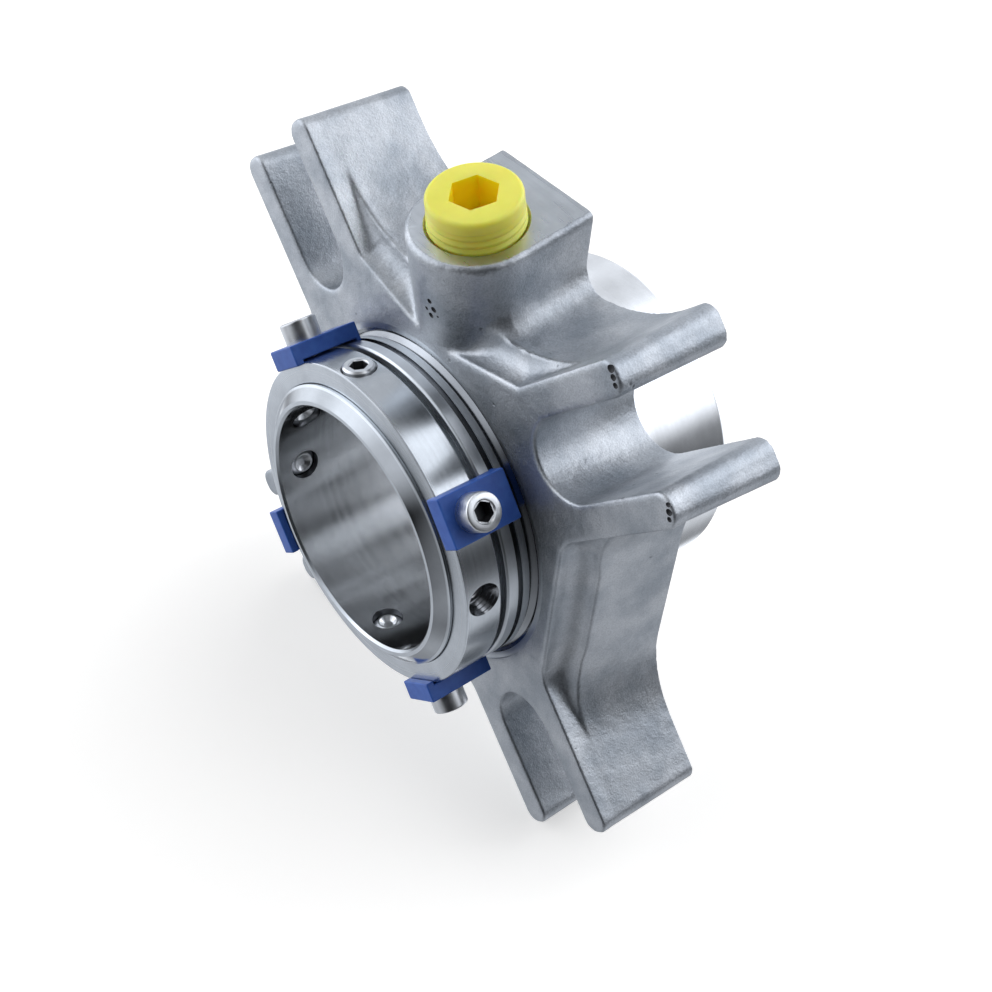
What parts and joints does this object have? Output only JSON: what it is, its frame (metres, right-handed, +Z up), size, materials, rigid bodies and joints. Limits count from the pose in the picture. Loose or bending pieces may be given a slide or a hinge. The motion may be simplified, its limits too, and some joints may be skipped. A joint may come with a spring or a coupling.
{
  "type": "cartridge mechanical seal",
  "caption": "Single cartridge mechanical seal with a cast gland with open bolt slots, setting clips on a clamp ring, a polished barrel and a plugged flush port.",
  "frame": {"origin": "on the shaft axis, in the plane of the gland's mounting face", "axes": "+Y runs along the shaft from the clamp ring end into the pump, +Z goes up through the flush port, +X to the right seen from the clamp ring end"},
  "size_m": [0.1224, 0.0667, 0.1278],
  "materials": {
    "cast_steel": "investment cast, bead blasted, satin",
    "turned_steel": "turned, fine lathe lines",
    "polished_steel": "polished",
    "screw_steel": "satin",
    "pin_steel": "ground",
    "spring_wire": "drawn wire",
    "clip_enamel": "dark blue, satin",
    "plug_plastic": "moulded, semi-gloss",
    "o_ring_rubber": "matt",
    "gasket_fibre": "matt",
    "seat_ceramic": "lapped, grey",
    "carbon": "lapped carbon"
  },
  "bodies": {
    "gland_unit": {"gland": "cast_steel", "gland_gasket": "gasket_fibre", "stationary_face": "seat_ceramic", "stationary_o_ring": "o_ring_rubber", "anti_rotation_pin": "pin_steel"},
    "rotor": {"sleeve": "turned_steel", "clamp_ring": "turned_steel", "set_screws": "screw_steel", "shaft_o_ring": "o_ring_rubber", "barrel": "polished_steel", "barrel_pins": "pin_steel", "drive_pins": "pin_steel", "springs": "spring_wire"},
    "face_unit": {"rotary_face": "carbon", "rotary_o_ring": "o_ring_rubber", "thrust_ring": "turned_steel"},
    "clip_1": {"setting_clip_1": "clip_enamel", "clip_screw_1": "screw_steel"},
    "clip_2": {"setting_clip_2": "clip_enamel", "clip_screw_2": "screw_steel"},
    "clip_3": {"setting_clip_3": "clip_enamel", "clip_screw_3": "screw_steel"},
    "clip_4": {"setting_clip_4": "clip_enamel", "clip_screw_4": "screw_steel"},
    "plug": {"port_plug": "plug_plastic"}
  },
  "joints": [
    {"name": "rotor_spin", "type": "hinge", "parent": "gland_unit", "child": "rotor", "pos_m": [0, 0, 0], "axis": [0, 1, 0], "continuous": true},
    {"name": "face_float", "type": "slide", "parent": "rotor", "child": "face_unit", "axis": [0, 1, 0], "range_m": [0, 0.0015], "stiffness_N_per_m": 8000, "springref_m": -0.003, "deforming": ["springs"]},
    {"name": "clip_1_lift", "type": "slide", "parent": "rotor", "child": "clip_1", "axis": [0.7547, 0, 0.6561], "range_m": [0, 0.012]},
    {"name": "clip_2_lift", "type": "slide", "parent": "rotor", "child": "clip_2", "axis": [-0.6561, 0, 0.7547], "range_m": [0, 0.012]},
    {"name": "clip_3_lift", "type": "slide", "parent": "rotor", "child": "clip_3", "axis": [-0.7547, 0, -0.6561], "range_m": [0, 0.012]},
    {"name": "clip_4_lift", "type": "slide", "parent": "rotor", "child": "clip_4", "axis": [0.6561, 0, -0.7547], "range_m": [0, 0.012]},
    {"name": "plug_out", "type": "slide", "parent": "gland_unit", "child": "plug", "axis": [0, -0.1908, 0.9816], "range_m": [0, 0.015]}
  ]
}
